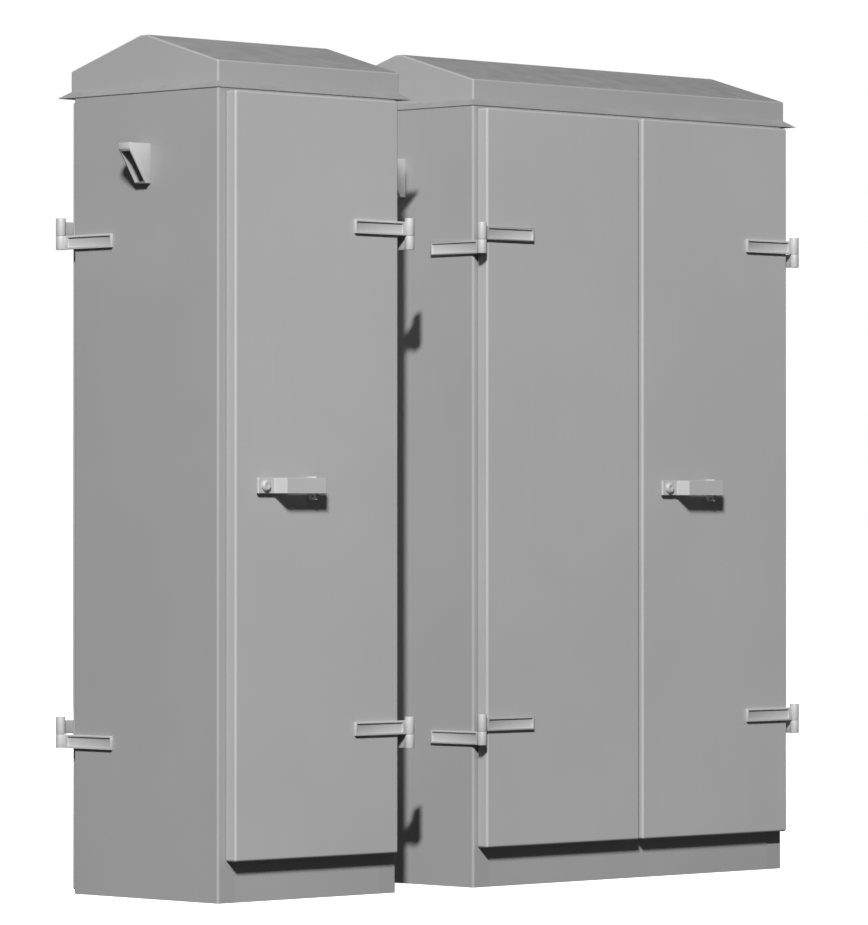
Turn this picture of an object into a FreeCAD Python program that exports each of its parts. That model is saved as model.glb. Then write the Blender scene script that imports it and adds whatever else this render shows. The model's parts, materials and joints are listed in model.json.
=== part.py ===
"""Two outdoor sheet-steel equipment cabinets, a narrow one and a wide one, that stand on one pad.

Millimetres. +X runs to the right along the fronts, +Y to the rear and +Z up. The origin is on the
ground, in the middle of the whole set. Each cabinet is drawn from its own front left bottom corner
and each lock from its spindle's axis on the outer face of its door.
"""
import FreeCAD, Part
import os
import re

import Sketcher

DIMENSIONS = {
    # whole set
    "narrow_width": 595, "wide_width": 1150, "cabinet_gap": 270, "depth": 525,
    # walls and door frames
    "sheet": 2.5, "wall_top": 2015, "stile": 57.5, "bend": 6, "lip_depth": 24,
    "opening_top": 1925, "front_sill": 130, "rear_sill": 38, "post_half": 41,
    # doors
    "door_depth": 35, "door_gap": 3, "door_skin": 2, "door_round": 6, "door_flange": 15,
    "door_top": 1953, "front_door_bottom": 100, "rear_door_bottom": 8, "narrow_inset": 25,
    "wide_inset": 15, "leaf_gap": 12,
    "seal_width": 8, "seal_grip": 7,
    # roof
    "roof_skin": 2.5, "roof_bend": 5, "roof_overhang": 6, "eave_low": 1974, "eave_high": 2025,
    "ridge": 2100, "crest": 26, "drip_drop": 16, "drip_out": 23,
    # vent hoods
    "hood_out": 69, "hood_wide": 40, "hood_tall": 97, "hood_lip": 15, "hood_foot": 16, "hood_low": 1738,
    "hood_skin": 4, "vent_slot": 28, "vent_hole": 6,
    # hinges
    "axis_out": 8.5, "axis_ahead": 40, "barrel_radius": 12, "pin_radius": 6, "frame_knuckle": 34,
    "door_knuckle": 43, "knuckle_gap": 0.5, "strap_long": 185, "strap_tall": 34, "strap_thick": 7,
    "strap_rim": 5, "strap_recess": 3.5, "strap_neck": 24, "hinge_low": 358, "hinge_high": 1587,
    # lever lock
    "lock_height": 1003, "lock_inset": 88, "hub_left": 23, "hub_right": 30, "hub_low": 3.3,
    "hub_high": 11, "bar_start": 40, "bar_end": 172, "bar_low": 36, "bar_high": 44, "bar_tall": 38,
    "stud_radius": 7, "spindle_radius": 9, "bolt_head": 13.5, "bolt_shank": 4, "escutcheon_radius": 17,
    "running": 0.05, "pinion_pitch": 12, "pinion_teeth": 12, "rod_plane": 40, "rod_wide": 8,
    "rod_thick": 8, "rack_gap": 2.4, "case_half": 30, "case_tall": 74, "shoot_radius": 6,
    "keeper_hole": 6.6, "shoot_long": 170, "guide_tall": 14, "guide_wall": 5, "guide_play": 0.4,
    # padlock staple behind the lever's bar
    "staple_near": 148, "staple_far": 154, "staple_out": 30, "staple_low": 34, "staple_high": 23,
    "eye_drop": 26.5, "eye_radius": 4,
    # floor and base
    "floor_height": 96, "rail_leg": 50, "rail_thick": 4, "anchor_radius": 7, "anchor_inset": 62.5,
    "duct_front": 330, "duct_wide": 140, "duct_low": 130, "duct_tall": 90,
    "duct_skin": 2, "duct_strip": 4, "duct_flange": 18,
    # transformer
    "core_pitch": 260, "core_limb": 110, "core_window": 380, "core_low": 190, "coil_radius": 124,
    "coil_bore": 82, "coil_tall": 340, "coil_rib": 26, "transformer_y": 262, "clamp_wide": 28,
    "clamp_skin": 6, "clamp_reach": 20, "flag_wide": 30, "flag_out": 34, "flag_thick": 6,
    # service gear
    "plate_y": 400, "plate_thick": 3, "plate_low": 300, "plate_high": 1700, "busbar_low": 1180,
    "busbar_step": 95, "busbar_tall": 40, "busbar_thick": 8, "busbar_y": 440, "busbar_end": 120,
    "comb_inset": 190, "comb_wide": 40,
}

HINGE_LEVELS = ("hinge_low", "hinge_high")
NARROW_X = "-(narrow_width + cabinet_gap + wide_width)/2"
WIDE_X = "(narrow_width + cabinet_gap - wide_width)/2"
FRONT_Y = "-depth/2"
LEFT_LEAF_WIDTH = "(wide_width - leaf_gap)/2 - wide_inset"
LEFT_LEAF_X = "wide_inset"
RIGHT_LEAF_X = "(wide_width + leaf_gap)/2"
NARROW_DOOR_WIDTH = "narrow_width - 2*narrow_inset"

doc = FreeCAD.newDocument("cabinet_set")
sheet = doc.addObject("Spreadsheet::Sheet", "Dims")
for row, (alias, number) in enumerate(DIMENSIONS.items(), start=1):
    sheet.set(f"A{row}", alias)
    sheet.set(f"B{row}", str(number))
    sheet.setAlias(f"B{row}", alias)
doc.recompute()

ALIASES = re.compile(r"\b(" + "|".join(DIMENSIONS) + r")\b")
nodes = []


# ---- names, sizes and places --------------------------------------------------------------------

def linked(text):
    """The expression with each dimension's name pointed at its cell."""
    return ALIASES.sub(r"Dims.\1", text)


def value(text):
    """The number that an expression has now."""
    result = sheet.evalExpression(linked(text))
    return float(getattr(result, "Value", result))


def plus(*terms):
    return " + ".join(f"({term})" for term in terms)


def place(thing, x="0", y="0", z="0", axis=(0, 0, 1), turn=0):
    """Turn a thing about an axis and bind its position to the sheet."""
    thing.Placement = FreeCAD.Placement(
        FreeCAD.Vector(), FreeCAD.Rotation(FreeCAD.Vector(*axis), turn))
    for name, text in zip("xyz", (x, y, z)):
        thing.setExpression(f"Placement.Base.{name}", linked(text))
    return thing


def node(thing, label):
    """Give a finished sub-part its name."""
    thing.Label = label
    nodes.append(thing)
    return thing


# ---- plain solids and booleans ------------------------------------------------------------------

def block(x, y, z):
    """A box between the low and high of each axis."""
    box = doc.addObject("Part::Box", "block")
    for size, (low, high) in zip(("Length", "Width", "Height"), (x, y, z)):
        box.setExpression(size, linked(f"({high}) - ({low})"))
    return place(box, x[0], y[0], z[0])


def rod(radius, length, x="0", y="0", z="0", along="Z"):
    """A cylinder that starts at a point and runs along +X, +Y or +Z."""
    turns = {"X": ((0, 1, 0), 90), "Y": ((1, 0, 0), -90), "Z": ((0, 0, 1), 0)}
    cylinder = doc.addObject("Part::Cylinder", "rod")
    cylinder.setExpression("Radius", linked(radius))
    cylinder.setExpression("Height", linked(length))
    axis, turn = turns[along]
    return place(cylinder, x, y, z, axis, turn)


def fuse(*parts):
    joined = doc.addObject("Part::MultiFuse", "fuse")
    joined.Shapes = list(parts)
    joined.Refine = True
    return joined


def cut(base, *tools):
    result = doc.addObject("Part::Cut", "cut")
    result.Base = base
    result.Tool = tools[0] if len(tools) == 1 else fuse(*tools)
    return result


def group(*parts):
    together = doc.addObject("Part::Compound", "group")
    together.Links = list(parts)
    return together


def copy(source, x="0", y="0", z="0", axis=(0, 0, 1), turn=0):
    """Another of the same piece at its own place."""
    link = doc.addObject("App::Link", "copy")
    link.LinkedObject = source
    return place(link, x, y, z, axis, turn)


# ---- bodies from sketches -----------------------------------------------------------------------

def new_body(name):
    body = doc.addObject("PartDesign::Body", name)
    doc.recompute()
    return body


def sketch_on(body, role, rise="0"):
    """A sketch on one of the body's own origin planes, raised along the plane's normal."""
    plane = next(item for item in body.Origin.OriginFeatures if item.Role == role)
    sketch = body.newObject("Sketcher::SketchObject", "sketch")
    sketch.AttachmentSupport = (plane, [""])
    sketch.MapMode = "FlatFace"
    sketch.setExpression("AttachmentOffset.Base.z", linked(rise))
    return sketch


def pin_point(sketch, edge, end, x, y):
    """Hold a point at its distances from the sketch's origin."""
    for kind, text in (("DistanceX", x), ("DistanceY", y)):
        index = sketch.addConstraint(Sketcher.Constraint(kind, -1, 1, edge, end, value(text)))
        sketch.setExpression(f"Constraints[{index}]", linked(text))


def outline(sketch, points):
    """A closed outline of straight edges through the given points."""
    first = sketch.GeometryCount
    count = len(points)
    corners = [FreeCAD.Vector(value(x), value(y), 0) for x, y in points]
    for number in range(count):
        sketch.addGeometry(Part.LineSegment(corners[number], corners[(number + 1) % count]))
    for number in range(count):
        following = first + (number + 1) % count
        sketch.addConstraint(Sketcher.Constraint("Coincident", first + number, 2, following, 1))
    for number, (x, y) in enumerate(points):
        pin_point(sketch, first + number, 1, x, y)
    return sketch


def rectangle(sketch, x, y):
    return outline(sketch, [(x[0], y[0]), (x[1], y[0]), (x[1], y[1]), (x[0], y[1])])


def circle(sketch, x, y, radius):
    middle = FreeCAD.Vector(value(x), value(y), 0)
    edge = sketch.addGeometry(Part.Circle(middle, FreeCAD.Vector(0, 0, 1), value(radius)))
    index = sketch.addConstraint(Sketcher.Constraint("Radius", edge, value(radius)))
    sketch.setExpression(f"Constraints[{index}]", linked(radius))
    pin_point(sketch, edge, 3, x, y)
    return sketch


def pad(body, sketch, length, reverse=False, middle=False):
    feature = body.newObject("PartDesign::Pad", "pad")
    feature.Profile = sketch
    feature.Reversed = reverse
    feature.Midplane = middle
    feature.setExpression("Length", linked(length))
    doc.recompute()
    return feature


def pocket(body, sketch, length=None, reverse=False, middle=False):
    """Cut a sketch through, or to a depth, and make sure that it took something away."""
    before = body.Shape.Volume
    feature = body.newObject("PartDesign::Pocket", "pocket")
    feature.Profile = sketch
    feature.Reversed = reverse
    feature.Midplane = middle
    if length is None:
        feature.Type = "ThroughAll"
    else:
        feature.setExpression("Length", linked(length))
    doc.recompute()
    if not body.Shape.Volume < before:
        raise RuntimeError(f"a pocket of {body.Name} cuts nothing")
    return feature


def round_edges(body, radius, wanted):
    """Fillet the edges of the body's last feature that a test picks."""
    base = body.Tip
    names = [f"Edge{number}" for number, edge in enumerate(base.Shape.Edges, start=1) if wanted(edge)]
    fillet = body.newObject("PartDesign::Fillet", "fillet")
    fillet.Base = (base, names)
    fillet.setExpression("Radius", linked(radius))
    doc.recompute()
    return fillet


def edge_runs(edge, axis):
    """Whether a straight edge runs along the axis with this number."""
    spans = (edge.BoundBox.XLength, edge.BoundBox.YLength, edge.BoundBox.ZLength)
    return all(span < 1e-6 for number, span in enumerate(spans) if number != axis)


# ---- walls, frames and panels -------------------------------------------------------------------

def side_wall():
    """A wall folded from one sheet, with a stile at each end and the slot behind the vent hood."""
    body = new_body("side_wall")
    profile = [("0", "0"), ("stile", "0"), ("stile", "sheet"), ("sheet", "sheet"),
               ("sheet", "depth - sheet"), ("stile", "depth - sheet"), ("stile", "depth"), ("0", "depth")]
    pad(body, outline(sketch_on(body, "XY_Plane"), profile), "wall_top")
    round_edges(body, "bend", lambda edge: edge_runs(edge, 2) and edge.BoundBox.XMax < 1e-6)
    round_edges(body, "bend - sheet", lambda edge: edge_runs(edge, 2)
                and abs(edge.BoundBox.XMin - value("sheet")) < 1e-6
                and abs(edge.BoundBox.YMin - value("depth/2")) < value("depth/2 - sheet") + 1e-6
                and edge.BoundBox.ZLength > value("wall_top") - 1)
    slot = rectangle(sketch_on(body, "YZ_Plane"), ("(depth - vent_slot)/2", "(depth + vent_slot)/2"),
                     ("hood_low + 8", "hood_low + hood_tall - 10"))
    pocket(body, slot, middle=True)
    return body


def door_frame(width, sill, openings):
    """Header and plinth between the stiles, and a lip round each opening for its door's seal."""
    parts = [block(("stile", f"{width} - stile"), ("0", "sheet"), ("opening_top", "wall_top")),
             block(("stile", f"{width} - stile"), ("0", "sheet"), ("0", sill))]
    if len(openings) > 1:
        parts.append(block((openings[0][1], openings[1][0]), ("0", "sheet"), (sill, "opening_top")))
    insides = []
    for left, right in openings:
        parts.append(block((left, right), ("-lip_depth", "sheet"),
                           (f"{sill} - sheet", "opening_top + sheet")))
        insides.append(block((f"{left} + sheet", f"{right} - sheet"), ("-lip_depth - 1", "sheet + 1"),
                             (sill, "opening_top")))
    return cut(fuse(*parts), *insides)


def narrow_opening():
    return [("stile", "narrow_width - stile")]


def wide_openings():
    return [("stile", "wide_width/2 - post_half"), ("wide_width/2 + post_half", "wide_width - stile")]


def seal(left, right, sill):
    """A trim that sits on the lip's edge and meets the door's skin."""
    def ring(grow, y):
        return block((f"{left} + sheet/2 - ({grow})", f"{right} - sheet/2 + ({grow})"), y,
                     (f"{sill} - sheet/2 - ({grow})", f"opening_top + sheet/2 + ({grow})"))
    front = "-lip_depth - seal_width"
    outer = ring("seal_width/2", (front, "-lip_depth + seal_grip"))
    inner = ring("-seal_width/2", (f"{front} - 1", "-lip_depth + seal_grip + 1"))
    lip = cut(ring("sheet/2", ("-lip_depth", "-lip_depth + seal_grip + 1")),
              ring("-sheet/2", ("-lip_depth - 1", "-lip_depth + seal_grip + 2")))
    return cut(outer, inner, lip)


def rear_panel():
    """A flat cover over the rear of the wide cabinet, drilled for its bolts."""
    plate = block(("12", "wide_width - 12"), ("depth", "depth + sheet"), ("rear_door_bottom", "wall_top"))
    holes = [rod("4.2", "sheet + 2", x, "depth - 1", z, "Y") for x, z in panel_bolt_places()]
    return cut(plate, *holes)


def panel_bolt_places():
    rows = 5
    for number in range(rows):
        z = f"60 + {number}*(door_top - 100)/{rows - 1}"
        for x in ("34", "wide_width - 34"):
            yield x, z


def panel_bolts():
    """Hexagon-headed bolts, each with its shank in the panel's hole."""
    body = new_body("panel_bolt")
    hexagon = [(f"7.5*cos({60*number})", f"7.5*sin({60*number})") for number in range(6)]
    pad(body, outline(sketch_on(body, "XZ_Plane"), hexagon), "5.5")
    pad(body, circle(sketch_on(body, "XZ_Plane"), "0", "0", "4"), "sheet", reverse=True)
    turned = [copy(body, f"{WIDE_X} + {x}", "depth/2 + sheet", z, turn=180)
              for x, z in panel_bolt_places()]
    return group(*turned)


def floor_plate(width, entry):
    """A floor with an opening through which the cables come up."""
    level = ("floor_height", "floor_height + sheet")
    plate = fuse(block(("sheet", f"{width} - sheet"), ("bend", "depth - bend"), level),
                 block(("bend", f"{width} - bend"), ("sheet", "depth - sheet"), level))
    hole = block(entry, ("80", "230"), ("floor_height - 1", "floor_height + sheet + 1"))
    return cut(plate, hole)


def base_rail():
    """An angle along the foot of a wall, with two anchor holes."""
    body = new_body("base_rail")
    profile = [("sheet", "0"), ("sheet + rail_leg", "0"), ("sheet + rail_leg", "rail_thick"),
               ("sheet + rail_thick", "rail_thick"), ("sheet + rail_thick", "rail_leg"),
               ("sheet", "rail_leg")]
    sketch = outline(sketch_on(body, "XZ_Plane", "-(depth - bend)"), profile)
    pad(body, sketch, "depth - 2*bend")
    holes = sketch_on(body, "XY_Plane")
    for y in ("anchor_inset", "depth - anchor_inset"):
        circle(holes, "sheet + 30", y, "anchor_radius")
    pocket(body, holes, middle=True)
    return body


def roof(width):
    """A folded gable roof, open underneath, with a drip lip that flares out below its fascia."""
    body = new_body("roof")
    shell = [("-roof_overhang", "eave_low"), ("-roof_overhang", "eave_high"),
             ("(depth - crest)/2", "ridge"), ("(depth + crest)/2", "ridge"),
             ("depth + roof_overhang", "eave_high"), ("depth + roof_overhang", "eave_low")]
    pad(body, outline(sketch_on(body, "YZ_Plane", "-roof_overhang"), shell),
        f"{width} + 2*roof_overhang")
    round_edges(body, "roof_bend", lambda edge: edge.BoundBox.ZMax > value("eave_low") + 1)
    hollow = [("-roof_overhang + roof_skin", "eave_low - 1"),
              ("-roof_overhang + roof_skin", "eave_high - 1.5"),
              ("(depth - crest)/2", "ridge - roof_skin"), ("(depth + crest)/2", "ridge - roof_skin"),
              ("depth + roof_overhang - roof_skin", "eave_high - 1.5"),
              ("depth + roof_overhang - roof_skin", "eave_low - 1")]
    pocket(body, outline(sketch_on(body, "YZ_Plane", "-roof_overhang + roof_skin"), hollow),
           f"{width} + 2*roof_overhang - 2*roof_skin", reverse=True)

    def skirt(inset, extra):
        wedge = doc.addObject("Part::Wedge", "skirt")
        out = f"roof_overhang + drip_out*(1 + {extra}/drip_drop) - {inset}"
        top = f"roof_overhang - {inset} - drip_out*{extra}/drip_drop"
        ends = {"Ymin": "0", "Ymax": f"drip_drop + 2*{extra}",
                "Xmin": f"-({out})", "Xmax": f"{width} + {out}",
                "Zmin": f"-depth - ({out})", "Zmax": f"{out}",
                "X2min": f"-({top})", "X2max": f"{width} + {top}",
                "Z2min": f"-depth - ({top})", "Z2max": f"{top}"}
        for name, text in ends.items():
            wedge.setExpression(name, linked(text))
        return place(wedge, z=f"eave_low - drip_drop - {extra}", axis=(1, 0, 0), turn=90)

    return fuse(body, cut(skirt("0", "0"), skirt("roof_skin", "1")))


def vent_hood():
    """A small cowl: flat top, short fascia, two cheeks, a slanted mouth and a sill at its foot."""
    body = new_body("vent_hood")
    side = [("0", "0"), ("0", "hood_tall"), ("-hood_out", "hood_tall"),
            ("-hood_out", "hood_tall - hood_lip"), ("-hood_foot", "0")]
    pad(body, outline(sketch_on(body, "XZ_Plane"), side), "hood_wide", middle=True)
    inner = [("1", "hood_tall - hood_skin"), ("-hood_out + hood_skin", "hood_tall - hood_skin"),
             ("-hood_out + hood_skin", "hood_tall - hood_lip - 12"), ("-hood_foot - 8", "hood_skin"),
             ("1", "hood_skin")]
    pocket(body, outline(sketch_on(body, "XZ_Plane"), inner), "hood_wide - 2*hood_skin", middle=True)
    return body


def vent_screen():
    """A perforated sheet behind the slot under a hood."""
    body = new_body("vent_screen")
    sketch = rectangle(sketch_on(body, "YZ_Plane"), ("-22", "22"), ("0", "hood_tall"))
    pad(body, sketch, "1.5")
    holes = sketch_on(body, "YZ_Plane")
    for column in range(3):
        for line in range(8):
            circle(holes, f"{8*(column - 1)}", f"{14 + 9.5*line}", "vent_hole/2")
    pocket(body, holes, middle=True)
    return body


# ---- doors and hinges ---------------------------------------------------------------------------

def door(width, tall, lock_side=None):
    """A pan: a skin folded back at its edges, with a flange all round and a hole for the spindle."""
    body = new_body("door")
    pad(body, rectangle(sketch_on(body, "XZ_Plane"), ("0", width), ("0", tall)),
        "door_depth - door_gap", reverse=True)
    round_edges(body, "door_round", lambda edge: edge.BoundBox.YMax < 1e-6 or edge_runs(edge, 1))
    left, right = "door_skin", f"{width} - door_skin"
    low, high = "door_skin", f"{tall} - door_skin"
    clip = "(door_round - door_skin)"
    hollow = [(f"{left} + {clip}", low), (f"{right} - {clip}", low), (right, f"{low} + {clip}"),
              (right, f"{high} - {clip}"), (f"{right} - {clip}", high), (f"{left} + {clip}", high),
              (left, f"{high} - {clip}"), (left, f"{low} + {clip}")]
    pocket(body, outline(sketch_on(body, "XZ_Plane", "-door_skin"), hollow),
           "door_depth - door_gap - 2*door_skin")
    back = rectangle(sketch_on(body, "XZ_Plane", "-door_depth/2"),
                     ("door_flange", f"{width} - door_flange"), ("door_flange", f"{tall} - door_flange"))
    pocket(body, back)
    if lock_side:
        across, up = lock_side
        hole = circle(sketch_on(body, "XZ_Plane"), across, up, "spindle_radius + running")
        pocket(body, hole, reverse=False, middle=True)
    return body


def strap(body, x, y, recess_x, recess_y):
    """Part of a hinge leaf: a bar with a recess that leaves a rim round its face."""
    pad(body, rectangle(sketch_on(body, "XY_Plane"), x, y), "strap_tall")
    recess = rectangle(sketch_on(body, "XY_Plane", "strap_rim"), recess_x, recess_y)
    pocket(body, recess, "strap_tall - 2*strap_rim", reverse=True)


def frame_leaf():
    """The leaf on the left wall: it runs back from the barrel, which stands ahead of the corner."""
    body = new_body("frame_leaf")
    pad(body, circle(sketch_on(body, "XY_Plane"), "0", "0", "barrel_radius"), "frame_knuckle")
    strap(body, ("axis_out - strap_thick", "axis_out"), ("0", "strap_long"),
          ("axis_out - strap_thick - 1", "axis_out - strap_thick + strap_recess"),
          ("strap_neck", "strap_long - strap_rim"))
    pocket(body, circle(sketch_on(body, "XY_Plane"), "0", "0", "pin_radius"), middle=True)
    return body


def door_leaf(hand):
    """The leaf on a door's face; hand is 1 where the strap runs to +X and -1 where it runs to -X."""
    body = new_body("door_leaf")
    back = "axis_ahead - door_depth"
    pad(body, circle(sketch_on(body, "XY_Plane"), "0", "0", "barrel_radius"), "door_knuckle")
    if hand > 0:
        run, recess = ("0", "strap_long"), ("strap_neck", "strap_long - strap_rim")
    else:
        run, recess = ("-strap_long", "0"), ("strap_rim - strap_long", "-strap_neck")
    strap(body, run, (f"{back} - strap_thick", back), recess,
          (f"{back} - strap_thick - 1", f"{back} - strap_thick + strap_recess"))
    bore = circle(sketch_on(body, "XY_Plane"), "0", "0", "pin_radius + running")
    pocket(body, bore, middle=True)
    return body


def hinge_pin():
    return rod("pin_radius", "frame_knuckle + knuckle_gap + door_knuckle")


# ---- lever lock: +Y goes into the door, the origin is on its outer face -------------------------

def lever():
    """A flat bar cranked away from the door, with a hole for the spindle's stud in its hub."""
    body = new_body("lever")
    profile = [("-hub_left", "-hub_low"), ("-hub_left", "-hub_high"), ("hub_right", "-hub_high"),
               ("bar_start", "-bar_high"), ("bar_end", "-bar_high"), ("bar_end", "-bar_low"),
               ("bar_start + 6", "-bar_low"), ("hub_right + 6", "-hub_low")]
    pad(body, outline(sketch_on(body, "XY_Plane"), profile), "bar_tall", middle=True)
    round_edges(body, "2.5", lambda edge: edge_runs(edge, 2))
    round_edges(body, "1.2", lambda edge: edge.BoundBox.ZLength < 1e-6)
    hole = circle(sketch_on(body, "XZ_Plane"), "0", "0", "stud_radius")
    pocket(body, hole, middle=True)
    return body


def turned(body, points):
    """Revolve an outline, given as radius and distance along Y, about the Y axis."""
    feature = body.newObject("PartDesign::Revolution", "turned")
    sketch = outline(sketch_on(body, "XY_Plane"), points)
    feature.Profile = sketch
    feature.ReferenceAxis = (sketch, ["V_Axis"])
    feature.Angle = 360
    doc.recompute()
    return feature


def lever_bolt():
    """The bolt that holds the lever on its spindle: a crowned head with a dimple, and a shank."""
    body = new_body("lever_bolt")
    turned(body, [("0", "-hub_high - 7"), ("3.5", "-hub_high - 7"), ("4.5", "-hub_high - 8"),
                  ("bolt_head - 3.5", "-hub_high - 8"), ("bolt_head", "-hub_high - 5"),
                  ("bolt_head", "-hub_high"), ("bolt_shank", "-hub_high"), ("bolt_shank", "6"),
                  ("0", "6")])
    return body


def spindle(back):
    """A shaft with a stud for the lever, tapped for the bolt."""
    body = new_body("spindle")
    turned(body, [("bolt_shank", "-hub_high"), ("stud_radius", "-hub_high"),
                  ("stud_radius", "-hub_low"), ("spindle_radius", "-hub_low"),
                  ("spindle_radius", back), ("0", back), ("0", "6"), ("bolt_shank", "6")])
    return body


def pinion_spindle():
    """The spindle with a pinion cut on it, in the plane of the lock's rods."""
    body = spindle("rod_plane + rod_thick + 2")
    pad(body, circle(sketch_on(body, "XZ_Plane", "-rod_plane"), "0", "0", "spindle_radius + 0.5"),
        "rod_thick", reverse=True)
    tooth = [("9", "-1.7"), ("12", "-1.2"), ("13.8", "-0.75"), ("13.8", "0.75"), ("12", "1.2"),
             ("9", "1.7")]
    feature = pad(body, outline(sketch_on(body, "XZ_Plane", "-rod_plane"), tooth), "rod_thick",
                  reverse=True)
    pattern = body.newObject("PartDesign::PolarPattern", "teeth")
    pattern.Originals = [feature]
    axis = next(item for item in body.Origin.OriginFeatures if item.Role == "Y_Axis")
    pattern.Axis = (axis, [""])
    pattern.Angle = 360
    pattern.setExpression("Occurrences", linked("pinion_teeth"))
    body.Tip = pattern
    doc.recompute()
    return body


def cam_spindle():
    return spindle("rod_plane + 7")


def cam_tongue():
    """A plate that hangs from the rear door's spindle and turns up behind the stile."""
    body = new_body("cam_tongue")
    pad(body, rectangle(sketch_on(body, "XZ_Plane", "-rod_plane"), ("-13", "13"), ("-70", "13")), "5",
        reverse=True)
    round_edges(body, "8", lambda edge: edge_runs(edge, 1))
    pocket(body, circle(sketch_on(body, "XZ_Plane"), "0", "0", "spindle_radius"), middle=True)
    return body


def lock_rod(length):
    """A flat rod left of the pinion, with a rack on the side that faces it."""
    body = new_body("lock_rod")
    near = "-(pinion_pitch + rack_gap)"
    far = "-(pinion_pitch + rack_gap + rod_wide)"
    pitch = "(2*3.14159265*pinion_pitch/pinion_teeth)"
    pad(body, rectangle(sketch_on(body, "XZ_Plane", "-rod_plane"), (far, near), ("-32", length)),
        "rod_thick", reverse=True)
    round_edges(body, "3", lambda edge: edge_runs(edge, 1) and edge.BoundBox.ZMin > value(length) - 1e-6)
    low = f"-4.5*{pitch}"
    tooth = [(f"{near} - 1", f"{low} - 2.07"), (near, f"{low} - 2.07"), ("-10.3", f"{low} - 0.55"),
             ("-10.3", f"{low} + 0.55"), (near, f"{low} + 2.07"), (f"{near} - 1", f"{low} + 2.07")]
    feature = pad(body, outline(sketch_on(body, "XZ_Plane", "-rod_plane"), tooth), "rod_thick",
                  reverse=True)
    pattern = body.newObject("PartDesign::LinearPattern", "rack")
    pattern.Originals = [feature]
    axis = next(item for item in body.Origin.OriginFeatures if item.Role == "Z_Axis")
    pattern.Direction = (axis, [""])
    pattern.Occurrences = 7
    pattern.setExpression("Length", linked(f"6*{pitch}"))
    body.Tip = pattern
    doc.recompute()
    return body


def lock_case():
    """A box on the inside of the door round the pinion, open at its top and bottom for the rods."""
    outer = block(("-case_half", "case_half"), ("door_skin", "rod_plane + rod_thick + 5"),
                  ("-case_tall/2", "case_tall/2"))
    inner = block(("-case_half + 2", "case_half - 2"), ("door_skin + 2", "rod_plane + rod_thick + 3"),
                  ("-case_tall/2 - 1", "case_tall/2 + 1"))
    bore = rod("spindle_radius + running", "10", "0", "0", "0", "Y")
    return cut(outer, inner, bore)


def escutcheon():
    """A round plate between the door and the lever's hub, which the spindle turns in."""
    return cut(rod("escutcheon_radius", "3", y="-3", along="Y"),
               rod("spindle_radius + running", "5", y="-4", along="Y"))


def padlock_staple():
    """A lug on the door behind the lever's bar, with an eye below the bar."""
    lug = block(("staple_near", "staple_far"), ("-staple_out", "0"), ("-staple_low", "staple_high"))
    eye = rod("eye_radius", "staple_far - staple_near + 2", "staple_near - 1", "-staple_out/2 - 5",
              "-eye_drop", "X")
    return cut(lug, eye)


def rod_guide():
    """A bracket on the door's skin with a window that a rod of the left side slides in."""
    left = "-(pinion_pitch + rack_gap + rod_wide)"
    right = "-(pinion_pitch + rack_gap)"
    through = ("-1", "guide_tall + 1")
    bracket = block((f"{left} - guide_wall", f"{right} + guide_wall"),
                    ("door_skin", "rod_plane + rod_thick + guide_wall"), ("0", "guide_tall"))
    window = block((f"{left} - guide_play", f"{right} + guide_play"),
                   ("rod_plane - guide_play", "rod_plane + rod_thick + guide_play"), through)
    waist = block((f"{left} - 1.5", f"{right} + 1.5"), ("door_skin + 3", "rod_plane - 6"), through)
    return cut(bracket, window, waist)


def shoot_bolt():
    """A round bolt with a cross grip, its tip at the top."""
    return fuse(rod("shoot_radius", "shoot_long", z="-shoot_long"), rod("5", "24", z="-95", along="Y"))


def shoot_guide():
    """A block on the door's skin that a shoot bolt slides in."""
    body = block(("-11", "11"), ("-(rod_plane + 4) + door_skin", "12"), ("0", "12"))
    window = rod("shoot_radius + 0.08", "14", z="-1")
    return cut(body, window)


def keeper():
    """A plate behind the frame that takes a rod's tip; its hole is on the rod's axis."""
    plate = block(("-18", "18"), ("-9 + sheet", "13"), ("0", "5"))
    hole = block(("-keeper_hole", "keeper_hole"), ("-keeper_hole", "keeper_hole"), ("-1", "6"))
    return cut(plate, hole)


# ---- what the cabinets hold ---------------------------------------------------------------------

def transformer_core():
    """A three-limb core of stacked laminations."""
    half = "(core_pitch + core_limb/2)"
    outer = block((f"-{half}", half), ("-core_limb/2", "core_limb/2"),
                  ("core_low", "core_low + core_window + 2*core_limb"))
    windows = [block((f"{side} + core_limb/2", f"{side} + core_pitch - core_limb/2"),
                     ("-core_limb/2 - 1", "core_limb/2 + 1"),
                     ("core_low + core_limb", "core_low + core_limb + core_window"))
               for side in ("-core_pitch", "0")]
    return cut(outer, *windows)


def coil():
    """A cast winding round one limb, with ribs at its ends."""
    low = "core_low + core_limb + (core_window - coil_tall)/2"
    body = rod("coil_radius - 5", "coil_tall", z=low)
    rings = [rod("coil_radius", "coil_rib", z=f"{low} + {start}")
             for start in ("0", "coil_tall - coil_rib")]
    return cut(fuse(body, *rings), rod("coil_bore", "coil_tall + 2", z=f"{low} - 1"))


def core_clamps():
    """Channels bolted along the yokes; the lower pair stands on the floor as feet."""
    half = "(core_pitch + core_limb/2 + clamp_reach)"
    yoke = "core_low + core_limb + core_window"
    channels = []
    for low, high in (("floor_height + sheet", "core_low + core_limb - 20"),
                      (f"{yoke} + 20", f"{yoke} + core_limb - 10")):
        bar = block((f"-{half}", half), ("core_limb/2", "core_limb/2 + clamp_wide"), (low, high))
        hollow = block((f"-{half} - 1", f"{half} + 1"),
                       ("core_limb/2 + clamp_skin", "core_limb/2 + clamp_wide + 1"),
                       (f"{low} + clamp_skin", f"{high} - clamp_skin"))
        channel = cut(bar, hollow)
        channels += [channel, copy(channel, turn=180)]
    return group(*channels)


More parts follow.
